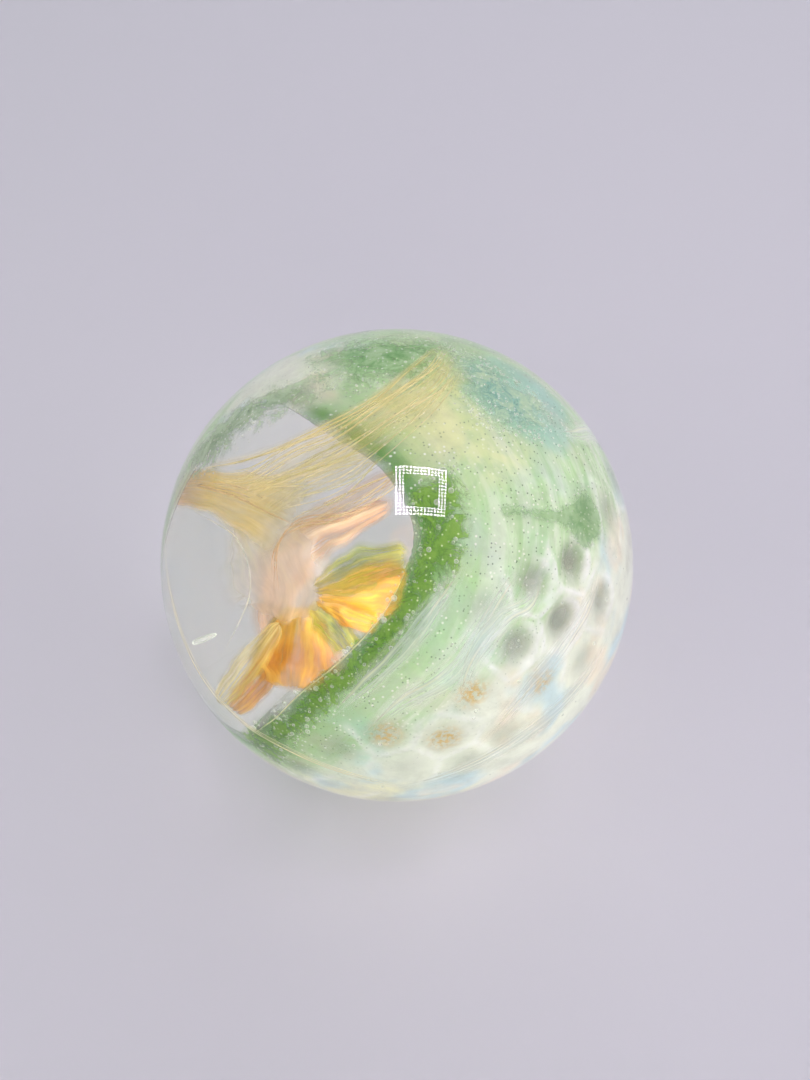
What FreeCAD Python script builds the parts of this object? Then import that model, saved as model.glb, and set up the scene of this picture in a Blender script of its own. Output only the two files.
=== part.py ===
import FreeCAD, Part
import math
import os
import Sketcher

# A solid art-glass ball: a clear core with coloured veils inside it, a skin of enamel glass with
# two clear windows, frit swirls and threads over the skin, and a clear casing ground flat below.
# The origin is the middle of the ground flat, +Z is up, and every length is in millimetres.

doc = FreeCAD.newDocument("ArtGlassBall")
sheet = doc.addObject("Spreadsheet::Sheet", "Sizes")

drivingSizes = {
    "core_radius": 24.0,
    "enamel_thickness": 0.8,
    "frit_gap": 0.4,
    "frit_thickness": 0.6,
    "thread_gap": 0.4,
    "thread_radius": 0.25,
    "thread_layer_gap": 0.1,
    "casing_cover": 3.3,
    "base_flat_radius": 11.0,
    "back_window_radius": 14.0,
    "opal_cap_depth": 5.6,
    "dot_radius": 2.5,
    "dot_half_thickness": 0.9,
    "neck_width": 6.0,
    "neck_thickness": 1.8,
    "veil_width": 7.0,
    "veil_thickness": 1.0,
    "fold_width": 2.6,
    "fold_thickness": 0.9,
    "petal_width": 3.4,
    "petal_thickness": 0.56,
    "strand_width": 1.6,
    "strand_thickness": 0.5,
}
for row, (alias, value) in enumerate(drivingSizes.items(), start=1):
    sheet.set(f"A{row}", alias.replace("_", " "))
    sheet.set(f"B{row}", str(value))
    sheet.setAlias(f"B{row}", alias)
doc.recompute()

# Radii of the layers, from the middle of the ball outwards.
coreRadius = "Sizes.core_radius"
enamelOuter = f"({coreRadius} + Sizes.enamel_thickness)"
fritInner = f"({enamelOuter} + Sizes.frit_gap)"
fritOuter = f"({fritInner} + Sizes.frit_thickness)"
threadOrbit = f"({fritOuter} + Sizes.thread_gap + Sizes.thread_radius)"
threadStep = "(2 * Sizes.thread_radius + Sizes.thread_layer_gap)"
ballRadius = f"({threadOrbit} + Sizes.thread_radius + Sizes.casing_cover)"
centreHeight = f"sqrt({ballRadius} ^ 2 - Sizes.base_flat_radius ^ 2)"


def sizeOf(expression):
    """The value of an expression of the sizes."""
    return float(sheet.evalExpression(expression))


def direction(longitude, latitude):
    """Unit vector from the ball's centre towards a longitude and latitude in degrees."""
    lon = math.radians(longitude)
    lat = math.radians(latitude)
    return FreeCAD.Vector(math.cos(lat) * math.cos(lon), math.cos(lat) * math.sin(lon), math.sin(lat))


def outwardFrame(out):
    """Rotation that turns local Z outwards, local X to the east and local Y to the north."""
    east = FreeCAD.Vector(-out.y, out.x, 0).normalize()
    return FreeCAD.Rotation(east, out.cross(east), out, "ZXY")


def place(feature, out, distance, rotation):
    """Put a feature at a distance from the ball's centre, tied to the sizes."""
    feature.Placement = FreeCAD.Placement(FreeCAD.Vector(0, 0, 0), rotation)
    feature.setExpression("Placement.Base.x", f"{out.x:.6f} * ({distance})")
    feature.setExpression("Placement.Base.y", f"{out.y:.6f} * ({distance})")
    feature.setExpression("Placement.Base.z", f"{centreHeight} + {out.z:.6f} * ({distance})")


def add(kind, name, sizes=None, **links):
    """Add a feature whose size properties are bound to expressions."""
    feature = doc.addObject(kind, name)
    for key, value in links.items():
        setattr(feature, key, value)
    for key, expression in (sizes or {}).items():
        feature.setExpression(key, expression)
    return feature


def ball(name, radius):
    """A full sphere about the ball's centre."""
    sphere = add("Part::Sphere", name, {"Radius": radius})
    place(sphere, FreeCAD.Vector(0, 0, 1), "0", FreeCAD.Rotation())
    return sphere


def cut(name, base, tool):
    return add("Part::Cut", name, Base=base, Tool=tool)


def common(name, base, tool):
    return add("Part::Common", name, Base=base, Tool=tool)


def group(name, features):
    return add("Part::Compound", name, Links=features)


# Outlines drawn on the ball: an axis from the centre, and points round it as (bearing, opening)
# in degrees, where the bearing turns from east to north and the opening is the angle off the axis.
def prism(name, axis, outline, radius):
    """A straight-sided tool over a smooth closed outline, from the ball's centre outwards."""
    body = doc.addObject("PartDesign::Body", name)
    plane = next(f for f in body.Origin.OriginFeatures if f.Role == "XY_Plane")
    sketch = body.newObject("Sketcher::SketchObject", name + "Outline")
    sketch.AttachmentSupport = [(plane, "")]
    sketch.MapMode = "FlatFace"
    doc.recompute()
    reach = sizeOf(radius)
    corners = [reach * math.sin(math.radians(opening)) for _, opening in outline]
    points = [
        FreeCAD.Vector(c * math.cos(math.radians(b)), c * math.sin(math.radians(b)), 0)
        for c, (b, _) in zip(corners, outline)
    ]
    curve = Part.BSplineCurve()
    curve.interpolate(points, PeriodicFlag=True)
    sketch.addGeometry(curve, False)
    pad = body.newObject("PartDesign::Pad", name + "Pad")
    pad.Profile = sketch
    pad.setExpression("Length", f"1.2 * {radius}")
    body.Tip = pad
    out = direction(*axis)
    place(body, out, "0", outwardFrame(out))
    return body


def patch(label, axis, outline):
    """A frit swirl: the part of the frit layer that lies under an outline."""
    tool = prism(label + "Tool", axis, outline, fritOuter)
    return common(label, fritShell, tool)


def thread(label, start, middle, end, layer):
    """A round thread on a circle of the ball through three places, in its own layer of glass."""
    a, b, c = direction(*start), direction(*middle), direction(*end)
    normal = (b - a).cross(c - b).normalize()
    rise = a.dot(normal)
    across = (a - normal * rise).normalize()
    along = normal.cross(across)
    sweep = math.degrees(math.atan2(c.dot(along), c.dot(across))) % 360
    orbit = f"({threadOrbit} + {layer} * {threadStep})"
    ring = add("Part::Torus", label, {
        "Radius1": f"{math.sqrt(1 - rise * rise):.6f} * {orbit}",
        "Radius2": "Sizes.thread_radius",
    })
    ring.Angle3 = sweep
    place(ring, normal, f"{rise:.6f} * {orbit}", FreeCAD.Rotation(across, along, normal, "ZXY"))
    return ring


def veil(label, kind, route, facing=(0, -0.53, 0.85)):
    """A leaf of coloured glass lofted through ellipses.

    kind names the width and thickness; each stop of the route is its place as shares of the
    core's radius, and its share of the width.
    """
    stops = [FreeCAD.Vector(x, y, z) for x, y, z, _ in route]
    sections = []
    for i, (stop, (_, _, _, share)) in enumerate(zip(stops, route)):
        ahead = stops[min(i + 1, len(stops) - 1)] - stops[max(i - 1, 0)]
        ahead.normalize()
        wide = ahead.cross(FreeCAD.Vector(*facing)).normalize()
        section = add("Part::Ellipse", f"{label}Section{i}")
        section.MajorRadius = 100
        section.setExpression("MajorRadius", f"0.5 * {share} * Sizes.{kind}_width")
        section.setExpression("MinorRadius", f"0.5 * {0.5 + 0.5 * share} * Sizes.{kind}_thickness")
        turn = FreeCAD.Rotation(wide, ahead.cross(wide), ahead, "ZXY")
        place(section, stop, coreRadius, turn)
        sections.append(section)
    return add("Part::Loft", label, Sections=sections, Solid=True, Ruled=False, Closed=False)


# The veils in the core: a neck, a cream veil and an orange fold, and petals and strands off them.
petalRoutes = [
    [(-0.20, -0.08, 0.03, 0.3), (-0.12, -0.10, 0.14, 0.9),
     (-0.02, -0.15, 0.25, 0.8), (0.06, -0.19, 0.34, 0.3)],
    [(-0.20, -0.12, -0.07, 0.3), (-0.12, -0.18, 0.02, 0.9),
     (-0.01, -0.26, 0.14, 0.8), (0.05, -0.31, 0.20, 0.3)],
    [(-0.25, -0.11, -0.19, 0.3), (-0.18, -0.18, -0.14, 0.9), (-0.09, -0.31, -0.03, 0.4)],
    [(-0.29, -0.13, -0.25, 0.3), (-0.25, -0.22, -0.24, 0.8), (-0.21, -0.36, -0.18, 0.4)],
    [(-0.34, -0.08, -0.30, 0.5), (-0.35, -0.18, -0.32, 1.1),
     (-0.37, -0.35, -0.34, 1.3), (-0.38, -0.41, -0.34, 0.9)],
    [(-0.40, -0.16, -0.43, 0.3), (-0.46, -0.22, -0.46, 0.8), (-0.52, -0.32, -0.49, 0.4)],
    [(-0.46, -0.22, -0.17, 0.3), (-0.55, -0.33, -0.17, 0.7), (-0.67, -0.46, -0.20, 0.4)],
    [(-0.49, -0.28, -0.31, 0.3), (-0.56, -0.36, -0.34, 0.7), (-0.63, -0.45, -0.36, 0.4)],
]
veils = [
    veil("amber_neck", "neck",
         [(-0.88, 0.22, 0.24, 0.45), (-0.76, 0.17, 0.31, 0.6),
          (-0.63, 0.09, 0.37, 1.0), (-0.56, 0.05, 0.39, 1.2)]),
    veil("cream_veil", "veil",
         [(-0.52, 0.04, 0.27, 0.7), (-0.46, 0.03, 0.16, 1.0),
          (-0.38, 0.02, 0.02, 0.9), (-0.33, 0.02, -0.08, 0.5)]),
    veil("orange_fold", "fold",
         [(-0.40, -0.08, -0.44, 0.8), (-0.42, 0.06, -0.30, 1.0), (-0.36, 0.15, -0.12, 1.0),
          (-0.26, 0.15, 0.05, 0.9), (-0.10, 0.12, 0.22, 0.6)]),
]
for number, route in enumerate(petalRoutes, start=1):
    veils.append(veil(f"amber_petal_{number}", "petal", route))

strandRoutes = [
    [(-0.57, 0.02, 0.50, 1.0), (-0.38, 0.08, 0.61, 1.0),
     (-0.20, 0.13, 0.69, 0.9), (-0.04, 0.19, 0.76, 0.6)],
    [(-0.48, -0.03, 0.43, 1.0), (-0.35, 0.03, 0.53, 1.0), (-0.17, 0.08, 0.60, 0.6)],
    [(-0.40, -0.06, 0.32, 1.0), (-0.24, 0.00, 0.43, 1.0), (-0.05, 0.06, 0.50, 0.6)],
]
for number, route in enumerate(strandRoutes, start=1):
    veils.append(veil(f"yellow_strand_{number}", "strand", route))

# The enamel skin, its two clear windows, and the cap of opal glass low on the right.
windowAxis = (-148, 33)
windowOutline = [
    (-70, 46), (-42, 35), (-14, 31), (18, 36), (40, 44), (60, 51), (80, 50),
    (100, 46), (138, 49), (161, 41), (190, 36), (225, 40), (262, 50),
]
backWindowAxis = direction(120, -60)
opalAxis = direction(-37, -41)

enamelShell = cut("EnamelShell", ball("EnamelBall", enamelOuter), ball("EnamelHollow", coreRadius))
frontWindow = prism("FrontWindow", windowAxis, windowOutline, enamelOuter)
backWindow = add("Part::Cylinder", "BackWindow",
                 {"Radius": "Sizes.back_window_radius", "Height": f"1.2 * {enamelOuter}"})
place(backWindow, backWindowAxis, "0", outwardFrame(backWindowAxis))
opalSide = add("Part::Cylinder", "OpalSide",
               {"Radius": f"1.2 * {enamelOuter}", "Height": f"1.2 * {enamelOuter}"})
place(opalSide, opalAxis, "Sizes.opal_cap_depth", outwardFrame(opalAxis))
windowedShell = cut("WindowedShell", enamelShell, group("Windows", [frontWindow, backWindow]))

# Clear dots pressed into the skin, in rings about the opal cap's axis: (azimuth, opening) pairs
# near the front, then rings round the far side. Every fourth dot of the front is honey amber.
frontDots = [
    (66, 82), (81, 77), (93, 68), (107, 73), (108, 87), (107, 59), (123, 71), (137, 64),
    (147, 75), (161, 77), (125, 51), (77, 61), (94, 82), (91, 52), (140, 51), (152, 62),
]
amberPlaces = {5, 6, 7, 8}
farRings = [(75, 17), (62, 19), (49, 24), (36, 32)]
farStart = 180
farEnd = 420


def dot(name, azimuth, opening):
    """A lens of glass that straddles the core's surface."""
    tilt = math.radians(opening)
    turn = math.radians(azimuth)
    local = FreeCAD.Vector(math.sin(tilt) * math.cos(turn), math.sin(tilt) * math.sin(turn), math.cos(tilt))
    out = outwardFrame(opalAxis).multVec(local)
    lens = add("Part::Ellipsoid", name, {
        "Radius1": "Sizes.dot_half_thickness",
        "Radius2": "Sizes.dot_radius",
        "Radius3": "Sizes.dot_radius",
    })
    place(lens, out, coreRadius, outwardFrame(out))
    return lens


dots = {"clear": [], "amber": []}
for number, (azimuth, opening) in enumerate(frontDots):
    colour = "amber" if number in amberPlaces else "clear"
    dots[colour].append(dot(f"FrontDot{number}", azimuth, opening))
for opening, step in farRings:
    for azimuth in range(farStart, farEnd, step):
        dots["clear"].append(dot(f"FarDot{opening}x{azimuth}", azimuth, opening))
clearDots = group("clear_dots", dots["clear"])
amberDots = group("amber_dots", dots["amber"])
allDots = group("AllDots", dots["clear"] + dots["amber"])

mintField = cut("mint_frit_field", cut("MintSide", windowedShell, opalSide), allDots)
opalField = cut("opal_white_field", common("OpalPart", windowedShell, opalSide), allDots)

# The frit swirls, which all lie in one thin layer over the skin.
fritShell = cut("FritShell", ball("FritBall", fritOuter), ball("FritHollow", fritInner))
swirls = [
    patch("green_frit_band", windowAxis, [
        (-66, 49), (-42, 37), (-14, 33), (18, 38), (40, 46), (58, 53), (72, 54),
        (74, 64), (62, 64), (50, 61), (40, 56), (26, 50), (10, 45), (-9, 41), (-34, 42), (-56, 51)]),
    patch("left_green_swirl", windowAxis, [
        (168, 31), (165, 38), (157, 45), (147, 52), (139, 57), (133, 54), (140, 45), (149, 36), (158, 29)]),
    patch("top_green_swirl", (75, 62), [
        (4, 30), (-16, 32), (-33, 27), (-48, 19), (-74, 13),
        (-121, 7), (137, 7), (89, 14), (60, 20), (33, 25)]),
    patch("teal_swirl", (30, 52), [
        (60, 15), (18, 13), (-41, 17), (-72, 15), (-150, 9), (147, 14), (110, 16)]),
    patch("green_comma", (-20, 38), [
        (104, 24), (115, 23), (112, 14), (100, 5), (-125, 3),
        (-75, 9), (-39, 14), (-8, 14), (40, 9), (84, 12), (98, 18)]),
    patch("back_green_swirl", (95, 12), [
        (80, 30), (40, 22), (0, 14), (-45, 20), (-80, 32), (-100, 30), (-150, 14), (140, 12), (105, 22)]),
]

# Fine threads over the frit: yellow ribbons over the top, and pale wisps low at the front.
threads = [
    thread("yellow_ribbon_1", (174, 38), (178, 70), (69, 50), 0),
    thread("yellow_ribbon_2", (-179, 43), (-173, 68), (68, 54), 1),
    thread("yellow_ribbon_3", (-170, 50), (-160, 72), (64, 62), 2),
    thread("opal_wisp_1", (-109, 17), (-95, 34), (-70, 52), 0),
    thread("opal_wisp_2", (-102, 12), (-80, 32), (-46, 47), 1),
    thread("opal_wisp_3", (-38, 45), (-59, 39), (-79, 20), 2),
    thread("opal_wisp_4", (-20, 29), (-46, 23), (-75, 4), 0),
    thread("opal_wisp_5", (-95, -8), (-60, 4), (-22, 14), 1),
    thread("opal_wisp_6", (10, 52), (22, 28), (18, -4), 2),
]

core = cut("clear_core", ball("CoreBall", coreRadius), group("CoreInclusions", veils + [allDots]))

# The casing: a ball ground flat below, hollow for the core and for every layer over it.
casingBlank = doc.addObject("PartDesign::Body", "CasingBlank")
profilePlane = next(f for f in casingBlank.Origin.OriginFeatures if f.Role == "XZ_Plane")
profile = casingBlank.newObject("Sketcher::SketchObject", "CasingProfile")
profile.AttachmentSupport = [(profilePlane, "")]
profile.MapMode = "FlatFace"
doc.recompute()
outerRadius = sizeOf(ballRadius)
flatRadius = sheet.base_flat_radius
height = sizeOf(centreHeight)
origin = FreeCAD.Vector(0, 0, 0)
flatEdge = FreeCAD.Vector(flatRadius, 0, 0)
top = FreeCAD.Vector(0, outerRadius + height, 0)
circle = Part.Circle(FreeCAD.Vector(0, height, 0), FreeCAD.Vector(0, 0, 1), outerRadius)
flatAngle = math.atan2(-height, flatRadius)
profile.addGeometry(Part.LineSegment(origin, flatEdge), False)
profile.addGeometry(Part.ArcOfCircle(circle, flatAngle, math.pi / 2), False)
profile.addGeometry(Part.LineSegment(top, origin), False)
flatLine, outerArc, axisLine, startPoint, endPoint, centrePoint = 0, 1, 2, 1, 2, 3
originGeometry = -1
profile.addConstraint(Sketcher.Constraint("Coincident", flatLine, endPoint, outerArc, startPoint))
profile.addConstraint(Sketcher.Constraint("Coincident", outerArc, endPoint, axisLine, startPoint))
profile.addConstraint(Sketcher.Constraint("Coincident", axisLine, endPoint, flatLine, startPoint))
profile.addConstraint(Sketcher.Constraint("Coincident", flatLine, startPoint, originGeometry, 1))
profile.addConstraint(Sketcher.Constraint("Horizontal", flatLine))
profile.addConstraint(Sketcher.Constraint("Vertical", axisLine))
profile.addConstraint(Sketcher.Constraint("PointOnObject", outerArc, centrePoint, axisLine))
radiusLimit = profile.addConstraint(Sketcher.Constraint("Radius", outerArc, outerRadius))
flatLimit = profile.addConstraint(Sketcher.Constraint("Distance", flatLine, flatRadius))
profile.setExpression(f"Constraints[{radiusLimit}]", ballRadius)
profile.setExpression(f"Constraints[{flatLimit}]", "Sizes.base_flat_radius")
turned = casingBlank.newObject("PartDesign::Revolution", "CasingTurned")
turned.Profile = profile
turned.ReferenceAxis = (profile, ["V_Axis"])
turned.Angle = 360
casingBlank.Tip = turned

overCore = [ball("CasingHollow", coreRadius), windowedShell, allDots, group("OverSkin", swirls + threads)]
casing = casingBlank
for step, tool in enumerate(overCore, start=1):
    last = step == len(overCore)
    casing = cut("clear_casing" if last else f"CasingStep{step}", casing, tool)

subParts = [casing, core, mintField, opalField, clearDots, amberDots] + swirls + threads + veils

doc.recompute()
for feature in doc.Objects:
    for trouble in ("Invalid", "Error"):
        if trouble in feature.State:
            raise RuntimeError(f"{feature.Name} is {trouble}")

os.makedirs("parts", exist_ok=True)
for subPart in subParts:
    shape = subPart.Shape
    if shape.isNull() or not shape.isValid() or not shape.Solids:
        raise RuntimeError(f"{subPart.Label} has no sound solid")
for subPart in subParts:
    subPart.Shape.exportStep(f"parts/{subPart.Label}.step")
    print(subPart.Label, len(subPart.Shape.Solids), round(subPart.Shape.Volume, 2))
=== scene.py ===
import bpy
import bmesh
import math
import random
import numpy as np
from mathutils import Matrix, Vector, noise


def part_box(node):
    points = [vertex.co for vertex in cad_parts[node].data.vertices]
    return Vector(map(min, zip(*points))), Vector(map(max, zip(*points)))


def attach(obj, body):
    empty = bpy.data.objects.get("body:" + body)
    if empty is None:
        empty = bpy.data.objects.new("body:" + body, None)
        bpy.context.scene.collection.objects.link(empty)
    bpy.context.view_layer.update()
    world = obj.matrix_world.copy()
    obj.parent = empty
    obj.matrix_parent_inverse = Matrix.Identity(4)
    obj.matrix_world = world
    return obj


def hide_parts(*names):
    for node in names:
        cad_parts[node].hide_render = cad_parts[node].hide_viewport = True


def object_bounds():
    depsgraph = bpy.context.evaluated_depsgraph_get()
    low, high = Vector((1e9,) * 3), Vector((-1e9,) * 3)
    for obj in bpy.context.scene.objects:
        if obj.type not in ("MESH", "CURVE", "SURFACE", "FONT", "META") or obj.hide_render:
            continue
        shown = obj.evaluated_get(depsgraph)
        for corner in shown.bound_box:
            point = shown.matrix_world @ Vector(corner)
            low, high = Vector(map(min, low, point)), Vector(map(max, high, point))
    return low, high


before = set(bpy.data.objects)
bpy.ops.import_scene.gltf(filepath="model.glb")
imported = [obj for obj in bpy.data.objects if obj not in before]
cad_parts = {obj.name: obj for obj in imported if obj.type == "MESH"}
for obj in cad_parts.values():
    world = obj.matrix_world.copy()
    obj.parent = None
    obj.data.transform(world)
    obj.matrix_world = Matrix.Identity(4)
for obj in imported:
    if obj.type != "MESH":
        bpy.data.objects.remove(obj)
cadLow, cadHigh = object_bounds()
mm = 0.001

# the ball's own measures, read from the frame
casingPoints = [v.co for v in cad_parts["clear_casing"].data.vertices]
flatRadius = max(Vector(p[:2]).length for p in casingPoints if p.z < 0.01 * mm)
topHeight = cadHigh.z
ballRadius = (topHeight ** 2 + flatRadius ** 2) / (2 * topHeight)
centre = Vector((0, 0, topHeight - ballRadius))
coreLow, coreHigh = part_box("clear_core")
coreRadius = (coreHigh.z - coreLow.z) / 2
skinRadius = coreRadius + 0.4 * mm
fritRadius = coreRadius + 1.5 * mm
threadLayer = coreRadius + 2.4 * mm
print("ball radius", round(ballRadius / mm, 2), "core radius", round(coreRadius / mm, 2))


def toLinear(hexColour):
    # sRGB hex to a linear RGBA tuple
    parts = [int(hexColour[i:i + 2], 16) / 255 for i in (1, 3, 5)]
    linear = [c / 12.92 if c <= 0.04045 else ((c + 0.055) / 1.055) ** 2.4 for c in parts]
    return (*linear, 1.0)


def addNode(tree, kind, inputs=None, **settings):
    # adds a node, sets it, and links or fills its inputs
    node = tree.nodes.new(kind)
    for key, value in settings.items():
        setattr(node, key, value)
    for key, value in (inputs or {}).items():
        socket = node.inputs[key]
        if isinstance(value, bpy.types.NodeSocket):
            tree.links.new(value, socket)
        else:
            socket.default_value = value
    return node


def newMaterial(name):
    material = bpy.data.materials.new(name)
    material.use_nodes = True
    material.node_tree.nodes.clear()
    return material, material.node_tree


def direction(longitude, latitude):
    lon = math.radians(longitude)
    lat = math.radians(latitude)
    return Vector((math.cos(lat) * math.cos(lon), math.cos(lat) * math.sin(lon), math.sin(lat)))


def outwardFrame(out):
    # columns: east, north and outwards
    east = Vector((-out.y, out.x, 0)).normalized()
    return Matrix((east, out.cross(east), out)).transposed()


def finishPiece(bm, name, material, nodes):
    mesh = bpy.data.meshes.new(name)
    bm.to_mesh(mesh)
    bm.free()
    mesh.shade_smooth()
    mesh.materials.append(material)
    piece = bpy.data.objects.new(name, mesh)
    bpy.context.scene.collection.objects.link(piece)
    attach(piece, "root")
    if nodes:
        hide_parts(*nodes)
    return piece


def addWall(piece, thickness):
    # gives a sheet its thickness, half on each side
    wall = piece.modifiers.new("wall", "SOLIDIFY")
    wall.thickness = thickness
    wall.offset = 0.0


def smoothPath(points, count, closed=False):
    # a Catmull-Rom curve through the points, as count + 1 places
    p = np.array(points, float)
    total = len(p)
    spans = total if closed else total - 1
    out = []
    for step in range(count + 1):
        at = spans * step / count
        i = min(int(at), spans - 1)
        f = at - i
        if closed:
            a, b, c, d = (p[(i + k) % total] for k in (-1, 0, 1, 2))
        else:
            b, c = p[i], p[i + 1]
            a = p[i - 1] if i > 0 else 2 * b - c
            d = p[i + 2] if i + 2 < total else 2 * c - b
        out.append(0.5 * (
            2 * b + (c - a) * f + (2 * a - 5 * b + 4 * c - d) * f ** 2 + (3 * b - a - 3 * c + d) * f ** 3))
    return np.array(out)


def outlineCurve(outline):
    # an outline on the ball is (bearing, opening) points round an axis, in degrees
    flat = [(o * math.cos(math.radians(b)), o * math.sin(math.radians(b))) for b, o in outline]
    return smoothPath(flat, 10 * len(flat), closed=True)[:-1]


def toChart(directions, axis):
    # places on the ball as flat points, in degrees from the axis
    local = directions @ np.array(outwardFrame(direction(*axis)))
    opening = np.degrees(np.arccos(np.clip(local[:, 2], -1, 1)))
    bearing = np.arctan2(local[:, 1], local[:, 0])
    return np.stack([opening * np.cos(bearing), opening * np.sin(bearing)], 1)


def fromChart(flat, axis):
    opening = np.radians(np.hypot(flat[:, 0], flat[:, 1]))
    bearing = np.arctan2(flat[:, 1], flat[:, 0])
    local = np.stack([
        np.sin(opening) * np.cos(bearing), np.sin(opening) * np.sin(bearing), np.cos(opening)], 1)
    return local @ np.array(outwardFrame(direction(*axis))).T


def insideBy(flat, curve):
    # how far each flat point is inside a closed curve, in degrees, and the nearest place on it
    best = np.full(len(flat), 1e9)
    nearest = np.zeros_like(flat)
    inside = np.zeros(len(flat), bool)
    for a, b in zip(curve, np.roll(curve, -1, axis=0)):
        run = b - a
        share = np.clip(((flat - a) @ run) / (run @ run), 0, 1)
        foot = a + share[:, None] * run
        gap = np.hypot(*(flat - foot).T)
        closer = gap < best
        best[closer] = gap[closer]
        nearest[closer] = foot[closer]
        crosses = (a[1] > flat[:, 1]) != (b[1] > flat[:, 1])
        if run[1]:
            at = a[0] + (flat[:, 1] - a[1]) * run[0] / run[1]
            inside ^= crosses & (flat[:, 0] < at)
    return np.where(inside, best, -best), nearest


def ballSkin(radius, keep=None, drop=(), level=7, snap=0.35):
    # part of a sphere: inside keep and outside each of drop, with its edge drawn on their outlines
    bm = bmesh.new()
    bmesh.ops.create_icosphere(bm, subdivisions=level, radius=radius)
    if keep:
        out = direction(*keep[0]) * math.cos(math.radians(2 + max(o for _, o in keep[1])))
        outside = [v for v in bm.verts if v.co.dot(out) < out.length_squared * radius]
        bmesh.ops.delete(bm, geom=outside, context="VERTS")
    directions = np.array([v.co for v in bm.verts]) / radius
    depth = np.full(len(directions), 1e9)
    target = directions.copy()
    perDegree = math.radians(1) * radius / mm
    for (axis, outline), sign in [(keep, 1)] * bool(keep) + [(d, -1) for d in drop]:
        near = np.flatnonzero(directions @ np.array(direction(*axis)) > -0.1)
        amount, foot = insideBy(toChart(directions[near], axis), outlineCurve(outline))
        amount = amount * sign * perDegree
        nearer = amount < depth[near]
        depth[near[nearer]] = amount[nearer]
        target[near[nearer]] = fromChart(foot[nearer], axis)
    bm.verts.ensure_lookup_table()
    for i in np.flatnonzero((depth < 0) & (depth > -snap)):
        bm.verts[i].co = Vector(target[i]) * radius
    layer = bm.verts.layers.float.new("inner")
    for vertex, inner in zip(bm.verts, depth.clip(0, 60)):
        vertex[layer] = inner
    bm.verts.ensure_lookup_table()
    bmesh.ops.delete(bm, geom=[bm.verts[i] for i in np.flatnonzero(depth <= -snap)], context="VERTS")
    bmesh.ops.translate(bm, verts=bm.verts, vec=centre)
    return bm


def setAttribute(mesh, name, values):
    attribute = mesh.attributes.get(name) or mesh.attributes.new(name, "FLOAT", "POINT")
    attribute.data.foreach_set("value", np.asarray(values, np.float32))


def meshDirections(mesh):
    points = np.zeros(len(mesh.vertices) * 3)
    mesh.vertices.foreach_get("co", points)
    away = points.reshape(-1, 3) - np.array(centre)
    return away / np.linalg.norm(away, axis=1)[:, None]


def smoothStep(low, high, values):
    share = np.clip((values - low) / (high - low), 0, 1)
    return share * share * (3 - 2 * share)


def wrapTube(bm, points, halfWide, halfThin, facing, sides, ripple=0.0, seed=0.0, look=0):
    # a leaf or a thread: a grid rolled round a path and closed at its ends
    steps = len(points) - 1
    ahead = np.gradient(points, axis=0)
    ahead /= np.linalg.norm(ahead, axis=1)[:, None]
    wide = np.cross(ahead, np.array(facing, float))
    wide /= np.linalg.norm(wide, axis=1)[:, None]
    thin = np.cross(wide, ahead)
    floats = bm.verts.layers.float
    alongLayer, acrossLayer, kindLayer = (
        floats.get(key) or floats.new(key) for key in ("along", "across", "kind"))
    made = bmesh.ops.create_grid(bm, x_segments=steps, y_segments=sides, size=1.0)["verts"]
    for vertex in made:
        along = (vertex.co.x + 1) / 2
        angle = math.pi * vertex.co.y
        i = int(round(along * steps))
        spread = halfWide[i] * (1 + 0.25 * noise.noise(Vector((along * 7, seed, 2.0))))
        wave = ripple * noise.noise(Vector((along * 4, math.cos(angle) * 2.5, seed + 7)))
        lift = math.sin(angle) * halfThin[i] + wave
        place = points[i] + wide[i] * math.cos(angle) * spread + thin[i] * lift
        vertex[alongLayer] = along
        vertex[acrossLayer] = math.cos(angle)
        vertex[kindLayer] = seed
        vertex.co = Vector(place)
    for vertex in made:
        for face in vertex.link_faces:
            face.material_index = look
    bmesh.ops.remove_doubles(bm, verts=made, dist=0.002 * mm)


def easedEnds(count, reach):
    # 0 at both ends of a path of count points, rising to 1 over reach steps
    places = np.arange(count)
    return np.minimum(1, np.minimum(places, count - 1 - places) / reach)


def taper(shares, count):
    # the shares spread smoothly over a path of count + 1 places
    return smoothPath([(s, 0) for s in shares], count)[:, 0].clip(0, None)


def letLampsThrough(tree, glass):
    # glass that a lamp's light passes straight through, so what is inside is lit
    clear = addNode(tree, "ShaderNodeBsdfTransparent")
    toLamp = addNode(tree, "ShaderNodeLightPath").outputs["Is Shadow Ray"]
    mix = addNode(tree, "ShaderNodeMixShader", {0: toLamp, 1: glass.outputs[0], 2: clear.outputs[0]})
    addNode(tree, "ShaderNodeOutputMaterial", {"Surface": mix.outputs[0]})


def firePolishedGlass():
    # soda-lime art glass, fire polished: clear, mirror bright, with faint waves where it was shaped
    material, tree = newMaterial("firePolishedGlass")
    place = addNode(tree, "ShaderNodeTexCoord").outputs["Object"]
    waves = addNode(tree, "ShaderNodeTexNoise", {"Vector": place, "Scale": 1 / (14 * mm), "Detail": 1.0})
    bump = addNode(tree, "ShaderNodeBump", {
        "Height": waves.outputs["Fac"], "Strength": 0.06, "Distance": 0.4 * mm})
    glass = addNode(tree, "ShaderNodeBsdfGlass", {"Roughness": 0.0, "IOR": 1.5, "Normal": bump.outputs[0]})
    letLampsThrough(tree, glass)
    return material


def groundGlass():
    # the flat under the ball, ground and half polished: a soft satin disc
    material, tree = newMaterial("groundGlass")
    place = addNode(tree, "ShaderNodeTexCoord").outputs["Object"]
    grit = addNode(tree, "ShaderNodeTexNoise", {"Vector": place, "Scale": 1 / (0.5 * mm), "Detail": 3.0})
    bump = addNode(tree, "ShaderNodeBump", {
        "Height": grit.outputs["Fac"], "Strength": 0.2, "Distance": 0.05 * mm})
    glass = addNode(tree, "ShaderNodeBsdfGlass", {"Roughness": 0.25, "IOR": 1.5, "Normal": bump.outputs[0]})
    letLampsThrough(tree, glass)
    return material


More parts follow.
